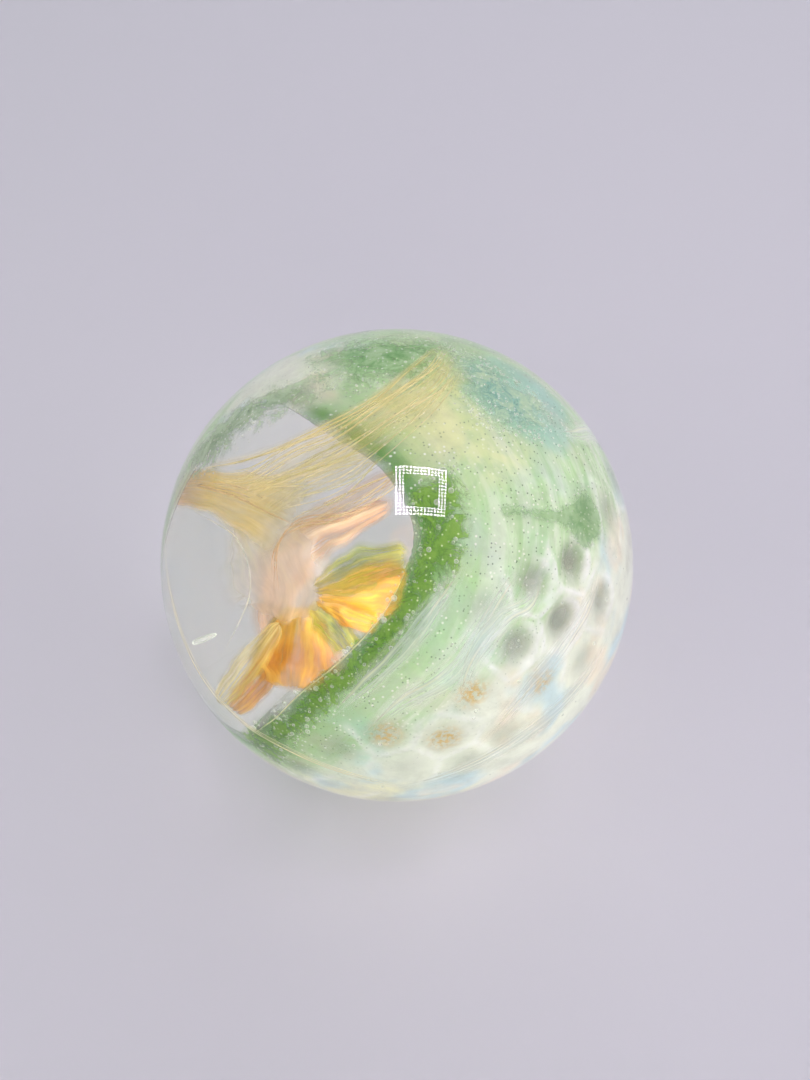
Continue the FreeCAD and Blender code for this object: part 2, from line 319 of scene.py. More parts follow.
def throughGlass(tree, colour, cover, glow):
    # coloured glass seen inside clear glass: part lit from the front, part glowing from behind.
    # Only the wall that light meets first carries the colour, so a thin sheet shades once.
    back = addNode(tree, "ShaderNodeNewGeometry").outputs["Backfacing"]
    outer = addNode(tree, "ShaderNodeMath", {0: 1.0, 1: back}, operation="SUBTRACT").outputs[0]
    cover = addNode(tree, "ShaderNodeMath", {0: cover, 1: outer}, operation="MULTIPLY").outputs[0]
    front = addNode(tree, "ShaderNodeBsdfDiffuse", {"Color": colour, "Roughness": 0.4})
    behind = addNode(tree, "ShaderNodeBsdfTranslucent", {"Color": colour})
    body = addNode(tree, "ShaderNodeMixShader", {0: glow, 1: front.outputs[0], 2: behind.outputs[0]})
    clear = addNode(tree, "ShaderNodeBsdfTransparent")
    mix = addNode(tree, "ShaderNodeMixShader", {0: cover, 1: clear.outputs[0], 2: body.outputs[0]})
    addNode(tree, "ShaderNodeOutputMaterial", {"Surface": mix.outputs[0]})


def scatteredGrains(tree, place, spacing, rarity, size, core):
    # loose round grains, spacing mm apart: size and core are where each fades in, in shares of that
    cells = addNode(tree, "ShaderNodeTexVoronoi", {"Vector": place, "Scale": 1 / (spacing * mm)})
    chosen = addNode(tree, "ShaderNodeSeparateColor", {0: cells.outputs["Color"]}).outputs[0]
    chosen = addNode(tree, "ShaderNodeMath", {0: chosen, 1: rarity}, operation="GREATER_THAN").outputs[0]
    near = addNode(tree, "ShaderNodeMapRange", {
        "Value": cells.outputs["Distance"], "From Min": size, "From Max": core},
        interpolation_type="SMOOTHSTEP").outputs[0]
    return addNode(tree, "ShaderNodeMath", {0: near, 1: chosen}, operation="MULTIPLY").outputs[0]


# the dimples' grey is painted shade, the white of the ridges also paints highlight crescents, and the pale
# seed colour paints glints of small air seeds
enamelLook = {
    "mint": "#b7dba0", "paleMint": "#dfeed3", "opal": "#edf0e2", "green": "#86b95c",
    "deep": "#4f8f24", "teal": "#8cc6bd", "yellow": "#eeeab4", "shadedPit": "#6c7863",
    "ridgeAndGlint": "#ffffff", "blue": "#bcdcec", "peach": "#f6e3cc", "amber": "#d6ab3a",
    "speck": "#4c6f48", "seed": "#fbfff0",
}


def enamelGlass():
    # opal enamel glass full of melted frit: pastel, milky, with dark and pale grains
    look = {key: toLinear(value) for key, value in enamelLook.items()}
    material, tree = newMaterial("seedyEnamelGlass")
    place = addNode(tree, "ShaderNodeTexCoord").outputs["Object"]
    shares = {
        name: addNode(tree, "ShaderNodeAttribute", attribute_name=name).outputs["Fac"]
        for name in ("green", "deep", "opal", "yellow", "teal", "shadedPit", "ridgeAndGlint", "amber", "inner")
    }
    # long streaks that run round the window, 10 mm by 1.4 mm
    turned = addNode(tree, "ShaderNodeAttribute", attribute_name="run").outputs["Vector"]
    streaks = addNode(tree, "ShaderNodeTexNoise", {
        "Vector": turned, "Scale": 1.0, "Detail": 5.0, "Roughness": 0.6, "Distortion": 0.5}).outputs["Fac"]
    clouds = addNode(tree, "ShaderNodeTexNoise", {
        "Vector": place, "Scale": 1 / (5 * mm), "Detail": 4.0, "Roughness": 0.6,
        "Distortion": 0.4}).outputs["Fac"]
    mintShare = addNode(tree, "ShaderNodeMapRange", {
        "Value": streaks, "From Min": 0.35, "From Max": 0.68}, interpolation_type="SMOOTHSTEP").outputs[0]
    colour = addNode(tree, "ShaderNodeMix", {
        0: mintShare, 6: look["mint"], 7: look["paleMint"]}, data_type="RGBA").outputs[2]
    for name, pattern, low, high in (
            ("opal", clouds, 0.30, 0.62), ("yellow", clouds, 0.35, 0.70), ("teal", clouds, 0.35, 0.65),
            ("green", streaks, 0.15, 0.85), ("deep", streaks, 0.2, 0.8)):
        wobble = addNode(tree, "ShaderNodeMath", {0: pattern, 1: -0.5}, operation="ADD").outputs[0]
        shifted = addNode(tree, "ShaderNodeMath", {
            0: wobble, 1: 0.9, 2: shares[name]}, operation="MULTIPLY_ADD").outputs[0]
        share = addNode(tree, "ShaderNodeMapRange", {
            "Value": shifted, "From Min": low, "From Max": high}, interpolation_type="SMOOTHSTEP").outputs[0]
        gated = addNode(tree, "ShaderNodeMath", {0: share, 1: shares[name]}, operation="MULTIPLY").outputs[0]
        colour = addNode(tree, "ShaderNodeMix", {
            0: gated, 6: colour, 7: look[name]}, data_type="RGBA").outputs[2]
    # faint blue and peach tints drift through the milky part
    tints = addNode(tree, "ShaderNodeTexNoise", {
        "Vector": place, "Scale": 1 / (7 * mm), "Detail": 2.0}).outputs["Color"]
    tints = addNode(tree, "ShaderNodeSeparateColor", {0: tints})
    milky = addNode(tree, "ShaderNodeMath", {
        0: shares["opal"], 1: 0.8, 2: 0.2}, operation="MULTIPLY_ADD").outputs[0]
    milky = addNode(tree, "ShaderNodeMath", {
        0: milky, 1: shares["deep"]}, operation="SUBTRACT", use_clamp=True).outputs[0]
    for channel, tone in ((0, "blue"), (2, "peach")):
        share = addNode(tree, "ShaderNodeMapRange", {
            "Value": tints.outputs[channel], "From Min": 0.5, "From Max": 0.68, "To Min": 0.0, "To Max": 0.7},
            interpolation_type="SMOOTHSTEP").outputs[0]
        share = addNode(tree, "ShaderNodeMath", {0: share, 1: milky}, operation="MULTIPLY").outputs[0]
        colour = addNode(tree, "ShaderNodeMix", {
            0: share, 6: colour, 7: look[tone]}, data_type="RGBA").outputs[2]
    # dimples: painted shade makes them greyer inside, honey in a few, white on the ridges and on the painted
    # highlight crescents
    colour = addNode(tree, "ShaderNodeMix", {
        0: shares["shadedPit"], 6: colour, 7: look["shadedPit"]}, data_type="RGBA").outputs[2]
    grains = addNode(tree, "ShaderNodeTexNoise", {
        "Vector": place, "Scale": 1 / (0.5 * mm), "Detail": 3.0}).outputs["Fac"]
    gold = addNode(tree, "ShaderNodeMapRange", {
        "Value": grains, "From Min": 0.40, "From Max": 0.60}, interpolation_type="SMOOTHSTEP").outputs[0]
    gold = addNode(tree, "ShaderNodeMath", {0: gold, 1: shares["amber"]}, operation="MULTIPLY").outputs[0]
    colour = addNode(tree, "ShaderNodeMix", {
        0: gold, 6: colour, 7: look["amber"]}, data_type="RGBA").outputs[2]
    colour = addNode(tree, "ShaderNodeMix", {
        0: shares["ridgeAndGlint"], 6: colour, 7: look["ridgeAndGlint"]}, data_type="RGBA").outputs[2]
    # grains 0.4 mm apart, a third of them dark and a third pale, crowded in some places and few in the opal;
    # the pale ones are painted glints standing in for small air seeds
    crowd = addNode(tree, "ShaderNodeMapRange", {
        "Value": clouds, "From Min": 0.68, "From Max": 0.40, "To Min": 0.25, "To Max": 0.95}).outputs[0]
    sparse = addNode(tree, "ShaderNodeMath", {
        0: shares["opal"], 1: -0.85, 2: 1.0}, operation="MULTIPLY_ADD").outputs[0]
    crowd = addNode(tree, "ShaderNodeMath", {
        0: crowd, 1: sparse}, operation="MULTIPLY", use_clamp=True).outputs[0]
    for tone, spacing, rarity, size in (("speck", 0.42, 0.60, 0.30), ("seed", 0.50, 0.62, 0.34)):
        grain = scatteredGrains(tree, place, spacing, rarity, size, size * 0.45)
        grain = addNode(tree, "ShaderNodeMath", {0: grain, 1: crowd}, operation="MULTIPLY").outputs[0]
        colour = addNode(tree, "ShaderNodeMix", {
            0: grain, 6: colour, 7: look[tone]}, data_type="RGBA").outputs[2]
    # cover: milky, thinner in the pits and where the streaks are thin
    cover = addNode(tree, "ShaderNodeMapRange", {
        "Value": clouds, "From Min": 0.3, "From Max": 0.6, "To Min": 0.62, "To Max": 0.95}).outputs[0]
    thinned = addNode(tree, "ShaderNodeMath", {
        0: shares["shadedPit"], 1: -0.45, 2: cover}, operation="MULTIPLY_ADD").outputs[0]
    edge = addNode(tree, "ShaderNodeMapRange", {
        "Value": shares["inner"], "From Min": 0.0, "From Max": 1.2, "To Min": 0.55, "To Max": 1.0}).outputs[0]
    cover = addNode(tree, "ShaderNodeMath", {
        0: thinned, 1: edge}, operation="MULTIPLY", use_clamp=True).outputs[0]
    # painted shade: the inner wall sits close to the light that the clear glass gathers, so its colour is
    # painted darker, down to 0.45 of the outer wall's
    out = addNode(tree, "ShaderNodeVectorMath", {0: place, 1: tuple(centre)}, operation="SUBTRACT").outputs[0]
    normal = addNode(tree, "ShaderNodeNewGeometry").outputs["Normal"]
    facesOut = addNode(tree, "ShaderNodeVectorMath", {0: out, 1: normal}, operation="DOT_PRODUCT")
    share = addNode(tree, "ShaderNodeMapRange", {
        "Value": facesOut.outputs["Value"], "From Min": -8 * mm, "From Max": 8 * mm, "To Min": 0.45,
        "To Max": 1.0}).outputs[0]
    colour = addNode(tree, "ShaderNodeVectorMath", {0: colour, "Scale": share}, operation="SCALE").outputs[0]
    throughGlass(tree, colour, cover, glow=0.3)
    return material


def fritGlass(name, deep, light, seedGlints, feather, most):
    # a swirl of melted frit: deep colour in the middle, thinning to loose grains at its edge; its pale grains
    # are painted glints standing in for small air seeds
    material, tree = newMaterial(name)
    place = addNode(tree, "ShaderNodeTexCoord").outputs["Object"]
    inner = addNode(tree, "ShaderNodeAttribute", attribute_name="inner").outputs["Fac"]
    clouds = addNode(tree, "ShaderNodeTexNoise", {
        "Vector": place, "Scale": 1 / (2.2 * mm), "Detail": 6.0, "Roughness": 0.72,
        "Distortion": 0.5}).outputs["Fac"]
    colour = addNode(tree, "ShaderNodeMapRange", {
        "Value": clouds, "From Min": 0.35, "From Max": 0.65}, interpolation_type="SMOOTHSTEP").outputs[0]
    colour = addNode(tree, "ShaderNodeMix", {
        0: colour, 6: toLinear(deep), 7: toLinear(light)}, data_type="RGBA").outputs[2]
    grain = scatteredGrains(tree, place, 0.42, 0.68, 0.34, 0.12)
    colour = addNode(tree, "ShaderNodeMix", {
        0: grain, 6: colour, 7: toLinear(seedGlints)}, data_type="RGBA").outputs[2]
    wobble = addNode(tree, "ShaderNodeMath", {0: clouds, 1: -0.5}, operation="ADD").outputs[0]
    ragged = addNode(tree, "ShaderNodeMath", {
        0: wobble, 1: 4.0 * feather, 2: inner}, operation="MULTIPLY_ADD").outputs[0]
    cover = addNode(tree, "ShaderNodeMapRange", {
        "Value": ragged, "From Min": 0.0, "From Max": feather, "To Min": 0.0, "To Max": most},
        interpolation_type="SMOOTHSTEP").outputs[0]
    rim = addNode(tree, "ShaderNodeMapRange", {"Value": inner, "From Min": 0.0, "From Max": 0.5}).outputs[0]
    cover = addNode(tree, "ShaderNodeMath", {
        0: cover, 1: rim}, operation="MULTIPLY", use_clamp=True).outputs[0]
    throughGlass(tree, colour, cover, glow=0.1)
    return material


def veilGlass(name, colours, most, streaks=9.0, edge=0.55, soft=0.35, glow=0.4, ends=(), pale="#f7ecc4"):
    # drawn glass, striated along its length: colours runs from the leaf's root to its tip
    material, tree = newMaterial(name)
    along = addNode(tree, "ShaderNodeAttribute", attribute_name="along").outputs["Fac"]
    across = addNode(tree, "ShaderNodeAttribute", attribute_name="across").outputs["Fac"]
    kind = addNode(tree, "ShaderNodeAttribute", attribute_name="kind").outputs["Fac"]
    ramp = addNode(tree, "ShaderNodeValToRGB", {0: along})
    ramp.color_ramp.elements[0].color = toLinear(colours[0])
    ramp.color_ramp.elements[1].color = toLinear(colours[-1])
    for i, colour in enumerate(colours[1:-1], start=1):
        ramp.color_ramp.elements.new(i / (len(colours) - 1)).color = toLinear(colour)
    stretched = addNode(tree, "ShaderNodeCombineXYZ", {"X": along, "Y": across, "Z": kind})
    scaled = addNode(tree, "ShaderNodeMapping", {
        "Vector": stretched.outputs[0], "Scale": (1.6, streaks, 3.0)})
    lines = addNode(tree, "ShaderNodeTexNoise", {
        "Vector": scaled.outputs[0], "Scale": 1.0, "Detail": 4.0, "Roughness": 0.6,
        "Distortion": 0.25}).outputs["Fac"]
    light = addNode(tree, "ShaderNodeMapRange", {
        "Value": lines, "From Min": 0.46, "From Max": 0.72, "To Min": 0.0, "To Max": 0.6},
        interpolation_type="SMOOTHSTEP").outputs[0]
    colour = addNode(tree, "ShaderNodeMix", {
        0: light, 6: ramp.outputs[0], 7: toLinear(pale)}, data_type="RGBA").outputs[2]
    side = addNode(tree, "ShaderNodeMath", {0: across}, operation="ABSOLUTE").outputs[0]
    fade = addNode(tree, "ShaderNodeMapRange", {
        "Value": side, "From Min": 1.0, "From Max": edge}, interpolation_type="SMOOTHSTEP").outputs[0]
    thickness = addNode(tree, "ShaderNodeMapRange", {
        "Value": lines, "From Min": 0.30, "From Max": 0.62, "To Min": soft, "To Max": 1.0}).outputs[0]
    cover = addNode(tree, "ShaderNodeMath", {0: fade, 1: thickness}, operation="MULTIPLY").outputs[0]
    for low, high in ends:
        tip = addNode(tree, "ShaderNodeMapRange", {
            "Value": along, "From Min": low, "From Max": high}, interpolation_type="SMOOTHSTEP").outputs[0]
        cover = addNode(tree, "ShaderNodeMath", {0: cover, 1: tip}, operation="MULTIPLY").outputs[0]
    cover = addNode(tree, "ShaderNodeMath", {
        0: cover, 1: most}, operation="MULTIPLY", use_clamp=True).outputs[0]
    throughGlass(tree, colour, cover, glow)
    return material


def threadGlass(name, colour, most, glow=0.4):
    # a fine pulled thread of coloured glass
    material, tree = newMaterial(name)
    along = addNode(tree, "ShaderNodeAttribute", attribute_name="along").outputs["Fac"]
    kind = addNode(tree, "ShaderNodeAttribute", attribute_name="kind").outputs["Fac"]
    place = addNode(tree, "ShaderNodeCombineXYZ", {"X": along, "Y": kind}).outputs[0]
    patches = addNode(tree, "ShaderNodeTexNoise", {
        "Vector": place, "Scale": 5.0, "Detail": 2.0}).outputs["Fac"]
    tone = addNode(tree, "ShaderNodeMix", {
        0: patches, 6: toLinear(colour), 7: toLinear("#fbf3cf")}, data_type="RGBA").outputs[2]
    cover = addNode(tree, "ShaderNodeMapRange", {
        "Value": patches, "From Min": 0.35, "From Max": 0.6, "To Min": 0.25 * most,
        "To Max": most}).outputs[0]
    throughGlass(tree, tone, cover, glow)
    return material


def airSeedWithPaintedRim():
    # a seed of air in the glass: clear in the middle, with a painted highlight, white and stronger towards
    # its rim
    material, tree = newMaterial("airSeedWithPaintedRim")
    facing = addNode(tree, "ShaderNodeLayerWeight", {"Blend": 0.35}).outputs["Facing"]
    rim = addNode(tree, "ShaderNodeMapRange", {
        "Value": facing, "From Min": 0.15, "From Max": 0.75, "To Min": 0.25, "To Max": 0.9}).outputs[0]
    paintedRimGlint = addNode(tree, "ShaderNodeBsdfDiffuse", {"Color": toLinear("#fbfff2")})
    clear = addNode(tree, "ShaderNodeBsdfTransparent")
    mix = addNode(tree, "ShaderNodeMixShader", {0: rim, 1: clear.outputs[0], 2: paintedRimGlint.outputs[0]})
    addNode(tree, "ShaderNodeOutputMaterial", {"Surface": mix.outputs[0]})
    return material


ballShape = {"segments": 256, "rings": 128, "flatEase": 0.25 * mm}


def buildClearBall():
    bm = bmesh.new()
    bmesh.ops.create_uvsphere(
        bm, u_segments=ballShape["segments"], v_segments=ballShape["rings"], radius=ballRadius)
    bmesh.ops.translate(bm, verts=bm.verts, vec=centre)
    everything = bm.verts[:] + bm.edges[:] + bm.faces[:]
    bmesh.ops.bisect_plane(bm, geom=everything, plane_co=(0, 0, 0), plane_no=(0, 0, -1), clear_outer=True)
    rim = [e for e in bm.edges if e.is_boundary]
    flat = bmesh.ops.contextual_create(bm, geom=rim)["faces"]
    rim = [e for f in flat for e in f.edges]
    bmesh.ops.bevel(
        bm, geom=rim, offset=ballShape["flatEase"], offset_type="OFFSET", segments=3, profile=0.5,
        affect="EDGES", material=-1)
    bmesh.ops.recalc_face_normals(bm, faces=bm.faces)
    ball = finishPiece(bm, "clearBall", firePolishedGlass(), ["clear_casing", "clear_core"])
    ball.data.materials.append(groundGlass())
    for face in ball.data.polygons:
        if face.normal.z < -0.999 and abs(face.center.z) < 0.01 * mm:
            face.material_index = 1
            face.use_smooth = False
    print("clear ball", len(ball.data.polygons), "faces")


buildClearBall()

skinShape = {
    "windowAxis": (-148, 33),
    "window": [(-70, 46), (-42, 35), (-14, 31), (18, 36), (40, 44), (60, 51), (80, 50),
               (100, 46), (138, 49), (161, 41), (190, 36), (225, 40), (262, 50)],
    "backWindowAxis": (120, -60),
    "backWindow": [(bearing, 34) for bearing in range(0, 360, 30)],
    "opalAxis": (-37, -41),
    "opalOpening": 77.0,
    "pitDepth": 1.1 * mm,
    "pitRadius": 3.1,
    "deepDots": [(-25.7, 34.4, 0.85), (-37, 25, 1.0), (-53, 30.7, 0.7), (-41, 37, 0.65), (-18.6, 23.7, 0.6)],
    "thickness": 0.7 * mm,
}


def dotCentres(node):
    # the middle of each separate solid of a CAD node
    bm = bmesh.new()
    bm.from_mesh(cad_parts[node].data)
    bmesh.ops.remove_doubles(bm, verts=bm.verts, dist=0.01 * mm)
    left = set(bm.verts)
    centres = []
    while left:
        island = [left.pop()]
        for vertex in island:
            for edge in vertex.link_edges:
                other = edge.other_vert(vertex)
                if other in left:
                    left.remove(other)
                    island.append(other)
        centres.append(sum((v.co for v in island), Vector()) / len(island))
    bm.free()
    return centres


clearDots = dotCentres("clear_dots")
amberDots = dotCentres("amber_dots")
print("dots", len(clearDots), "clear and", len(amberDots), "amber")


def buildSkin():
    shape = skinShape
    bm = ballSkin(skinRadius, drop=[
        (shape["windowAxis"], shape["window"]), (shape["backWindowAxis"], shape["backWindow"])])
    fields = ["mint_frit_field", "opal_white_field"]
    piece = finishPiece(bm, "enamelSkin", enamelGlass(), fields)
    mesh = piece.data
    away = meshDirections(mesh)
    dots = [(p - centre).normalized() for p in clearDots + amberDots]
    radius = skinRadius / mm
    gaps = np.stack([np.arccos(np.clip(away @ np.array(d), -1, 1)) * radius for d in dots], 1)
    dice = np.random.default_rng(3)
    strength = dice.uniform(0.1, 0.4, len(dots))
    for lon, lat, most in shape["deepDots"]:
        angles = [d.angle(direction(lon, lat)) for d in dots]
        strength[int(np.argmin(angles))] = most
    order = np.sort(gaps, axis=1)
    first, second = order[:, 0], order[:, 1]
    nearest = strength[np.argmin(gaps, axis=1)]
    amberGap = gaps[:, len(clearDots):].min(1)
    # pits where the dots press in, also painted greyer as shade; ridges where two pits meet
    shadedPit = (1 - smoothStep(0.2, shape["pitRadius"], first)) * nearest
    among = 1 - smoothStep(3.2, 4.6, first)
    ridgeAndGlint = (1 - smoothStep(0.1, 0.8, second - first)) * among * (1 - smoothStep(6.0, 7.5, second))
    ridgeAndGlint *= 0.3 + 0.7 * nearest
    # painted highlight: the deepest have a white crescent of light painted along their lower right side
    for lon, lat, most in shape["deepDots"]:
        number = int(np.argmin([d.angle(direction(lon, lat)) for d in dots]))
        seat = outwardFrame(dots[number])
        flat = away @ np.array(seat)
        side = (flat[:, 0] * 0.9 - flat[:, 1] * 0.45) / np.maximum(np.hypot(flat[:, 0], flat[:, 1]), 1e-6)
        gap = gaps[:, number]
        band = smoothStep(1.9, 2.35, gap) * (1 - smoothStep(2.5, 3.1, gap))
        ridgeAndGlint = np.maximum(ridgeAndGlint, most * band * smoothStep(-0.1, 0.7, side))
        shadedPit = np.maximum(shadedPit, most * (1 - smoothStep(0.6, 2.2, gap)))
    opalAxis = np.array(direction(*shape["opalAxis"]))
    opening = np.degrees(np.arccos(np.clip(away @ opalAxis, -1, 1)))
    opal = 1 - smoothStep(shape["opalOpening"] - 16, shape["opalOpening"] + 9, opening)
    opal = np.maximum(opal, 0.75 * smoothStep(0.90, 0.985, away @ np.array(direction(138, 50))))
    windowGap, _ = insideBy(toChart(away, shape["windowAxis"]), outlineCurve(shape["window"]))
    windowGap = -windowGap * math.radians(radius)
    rightSide = smoothStep(-0.35, 0.25, away @ np.array(direction(-60, 20)))
    green = (1 - smoothStep(1.5, 14.0, windowGap)) * (0.25 + 0.5 * rightSide)
    deep = smoothStep(-0.25, 0.15, away @ np.array(direction(-60, 20)))
    deep = (1 - smoothStep(0.8, 4.2, windowGap)) * deep
    green = np.maximum(green, 0.55 * smoothStep(0.72, 0.96, away @ np.array(direction(80, 44))))
    yellow = 0.6 * smoothStep(0.78, 0.97, away @ np.array(direction(-95, -32)))
    yellow = np.maximum(yellow, 0.6 * smoothStep(0.80, 0.99, away @ np.array(direction(35, 66))))
    yellow = np.maximum(yellow, 0.8 * smoothStep(0.93, 0.995, away @ np.array(direction(20, 86))))
    teal = 0.7 * smoothStep(0.90, 0.99, away @ np.array(direction(32, 50)))
    teal = np.maximum(teal, 0.45 * smoothStep(0.93, 0.99, away @ np.array(direction(-104, 12))))
    teal = np.maximum(teal, 0.35 * smoothStep(0.94, 0.99, away @ np.array(direction(-50, 38))))
    amber = 1 - smoothStep(0.3, 2.4, amberGap)
    for name, values in (
            ("shadedPit", shadedPit), ("ridgeAndGlint", 0.9 * ridgeAndGlint), ("opal", opal), ("green", green),
            ("deep", deep), ("yellow", yellow), ("teal", teal), ("amber", 0.85 * amber)):
        setAttribute(mesh, name, values)
    local = toChart(away, shape["windowAxis"])
    bearing = np.arctan2(local[:, 1], local[:, 0])
    run = np.stack([np.cos(bearing) * 2.5, np.sin(bearing) * 2.5, windowGap / 1.4], 1)
    runAttribute = mesh.attributes.new("run", "FLOAT_VECTOR", "POINT")
    runAttribute.data.foreach_set("vector", run.astype(np.float32).ravel())
    depth = shape["pitDepth"] * (0.35 * ridgeAndGlint - smoothStep(0, 1, shadedPit))
    points = np.array(centre) + away * (skinRadius + depth)[:, None]
    mesh.vertices.foreach_set("co", points.ravel())
    mesh.update()
    addWall(piece, shape["thickness"])
    print("enamel skin", len(mesh.polygons), "faces")


buildSkin()

swirls = {
    "greenBand": {
        "node": "green_frit_band", "axis": (-148, 33), "slot": "green_frit_glass",
        "outline": [(-67, 44), (-42, 33), (-14, 29.5), (18, 34), (40, 42), (58, 50), (72, 52), (76, 66),
                    (62, 66), (50, 62), (40, 56), (26, 50), (10, 44), (-9, 40), (-34, 43), (-56, 54)],
        "look": ("#57921f", "#8cba48", "#e9f6c4", 3.0, 0.9)},
    "leftGreenSwirl": {
        "node": "left_green_swirl", "axis": (-148, 33), "slot": "green_frit_glass",
        "outline": [(177, 41.5), (169, 47), (156, 50), (146, 53), (135, 56), (123, 60), (115, 55),
                    (119, 46), (130, 38.5), (141, 33.5), (153, 28.5), (169, 29.5)],
        "look": ("#5c8f45", "#b4cfa2", "#f6fbea", 3.6, 0.7)},
    "topGreenSwirl": {
        "node": "top_green_swirl", "axis": (75, 62), "slot": "green_frit_glass",
        "outline": [(-2, 31.5), (-17, 27), (-34, 20), (-74, 15), (-105, 16), (156, 8), (99, 14),
                    (68, 16), (54, 22.5), (32, 25)],
        "look": ("#5ea24a", "#b5d8a4", "#ffffff", 4.2, 0.78)},
    "tealSwirl": {
        "node": "teal_swirl", "axis": (30, 52), "slot": "teal_frit_glass",
        "outline": [(30, 25), (6, 22), (-11, 11), (-75, 9), (-137, 10), (164, 15), (130, 18), (102, 20),
                    (72, 21)],
        "look": ("#76b7ac", "#d3e6c0", "#ffffff", 5.0, 0.7)},
    "greenComma": {
        "node": "green_comma", "axis": (-20, 38), "slot": "green_frit_glass",
        "outline": [(104, 23.5), (113, 23), (111, 15.5), (104, 7), (-130, 3), (-70, 7), (-39, 12),
                    (-8, 13.5), (10, 14), (30, 11.5), (52, 9), (94, 15)],
        "look": ("#79a96a", "#b4d3a2", "#eef6dc", 1.1, 0.7)},
    "backGreenSwirl": {
        "node": "back_green_swirl", "axis": (95, 12), "slot": "green_frit_glass",
        "outline": [(80, 30), (40, 22), (0, 14), (-45, 20), (-80, 32), (-100, 30), (-150, 14), (140, 12),
                    (105, 22)],
        "look": ("#5aa04e", "#a9d29c", "#f3fae6", 3.2, 0.72)},
}


def buildSwirls():
    for name, swirl in swirls.items():
        bm = ballSkin(fritRadius, keep=(swirl["axis"], swirl["outline"]))
        material = fritGlass(name + "Frit", *swirl["look"])
        piece = finishPiece(bm, name, material, [swirl["node"]])
        addWall(piece, 0.35 * mm)
    print("frit swirls", len(swirls))


buildSwirls()

# veils, petals and strands in the core: routes are shares of the core's radius from the ball's centre,
# widths are in millimetres
veilColours = {
    "neck": ("#f2ac3c", "#f8d658", "#fbe596", "#fdecd2"),
    "cream": ("#fbe9c8", "#fdf1e4", "#fbe9dc", "#f8dcb8"),
    "fold": ("#f5bd7c", "#f4b26c", "#f6c48c", "#f0a862"),
    "petal": ("#efc358", "#e3a414", "#dc8a00", "#dc9e0a"),
    "leafGreen": ("#cdb648", "#98a02e", "#7d8a24", "#a9a22a"),
    "strand": ("#f9e69c", "#f3e078", "#ecd962", "#e6d56c"),
    "ribbon": ("#f3dc8c", "#ecdc7c", "#e6dc86", "#ecd668"),
    "wisp": ("#ffffff", "#f4f9f4", "#eaf6f8", "#fff6ea"),
}
veils = {
    "amberNeck": (
        "amber_neck", "amber_glass", "neck", 0.8, 0.9,
        [(-0.92, 0.24, 0.22), (-0.76, 0.17, 0.30), (-0.60, 0.08, 0.35), (-0.46, 0.02, 0.34),
         (-0.34, 0.0, 0.22)],
        (1.9, 2.4, 3.0, 4.2, 4.4)),
    "creamVeil": (
        "cream_veil", "cream_glass", "cream", 0.8, 1.4,
        [(-0.64, 0.06, 0.30), (-0.54, 0.03, 0.20), (-0.46, -0.01, 0.06), (-0.40, -0.04, -0.10),
         (-0.40, -0.08, -0.26)],
        (2.6, 4.6, 5.6, 5.2, 3.6)),
    "orangeFold": (
        "orange_fold", "amber_glass", "fold", 0.75, 0.9,
        [(-0.39, -0.09, -0.42), (-0.42, 0.02, -0.28), (-0.38, 0.09, -0.12), (-0.29, 0.09, 0.04),
         (-0.16, 0.07, 0.19), (0.0, 0.07, 0.34)],
        (1.2, 2.4, 2.6, 2.4, 1.7, 0.8)),
}
petals = {
    1: ("leafGreen",
        [(-0.30, -0.06, -0.06), (-0.20, -0.09, 0.05), (-0.10, -0.11, 0.16), (0.06, -0.18, 0.34)],
        (0.6, 2.2, 2.6, 1.4)),
    2: ("petal",
        [(-0.29, -0.07, -0.09), (-0.14, -0.14, 0.04), (-0.04, -0.21, 0.16), (0.05, -0.28, 0.26)],
        (0.6, 2.2, 3.0, 2.2)),
    3: ("petal",
        [(-0.29, -0.06, -0.14), (-0.22, -0.10, -0.12), (-0.16, -0.17, -0.07), (-0.06, -0.30, 0.05)],
        (0.4, 1.1, 1.5, 1.2)),
    4: ("leafGreen",
        [(-0.31, -0.05, -0.18), (-0.26, -0.12, -0.16), (-0.22, -0.20, -0.13), (-0.17, -0.34, -0.06)],
        (0.5, 1.5, 1.8, 1.4)),
    5: ("petal",
        [(-0.33, -0.04, -0.20), (-0.34, -0.12, -0.23), (-0.35, -0.24, -0.25), (-0.37, -0.37, -0.27)],
        (1.0, 2.9, 4.2, 3.6)),
    6: ("leafGreen",
        [(-0.35, 0.0, -0.26), (-0.40, -0.08, -0.30), (-0.44, -0.17, -0.33), (-0.48, -0.25, -0.35)],
        (0.6, 1.6, 1.8, 1.0)),
    7: ("strand",
        [(-0.42, -0.12, -0.20), (-0.50, -0.24, -0.20), (-0.60, -0.37, -0.21), (-0.70, -0.48, -0.23)],
        (0.8, 1.4, 1.6, 1.0)),
    8: ("petal",
        [(-0.37, -0.14, -0.25), (-0.45, -0.24, -0.28), (-0.53, -0.34, -0.30), (-0.62, -0.44, -0.31)],
        (0.7, 1.3, 1.5, 0.9)),
}
facing = (0.0, -0.53, 0.85)


def addThreads(bm, dice, path, count, spread, radius, outward=None, look=1):
    steps = len(path) - 1
    for number in range(count):
        shift = [Vector([dice.gauss(0, spread) for _ in range(3)]) * mm for _ in range(3)]
        line = path + smoothPath(shift, steps)
        first = int(dice.uniform(0, 0.25) * steps)
        last = steps - int(dice.uniform(0, 0.25) * steps)
        line = line[first:last]
        if outward is not None:  # threads in the casing stay in their own layer
            away = line - np.array(centre)
            reach = outward + dice.uniform(0.05, 0.25) * mm
            line = np.array(centre) + away / np.linalg.norm(away, axis=1)[:, None] * reach
        size = radius * mm * dice.uniform(0.5, 1.6)
        ends = easedEnds(len(line), 8)
        wrapTube(bm, line, size * ends, size * ends, (0.3, 0.4, 0.86), 6, 0.0, number * 0.7, look)


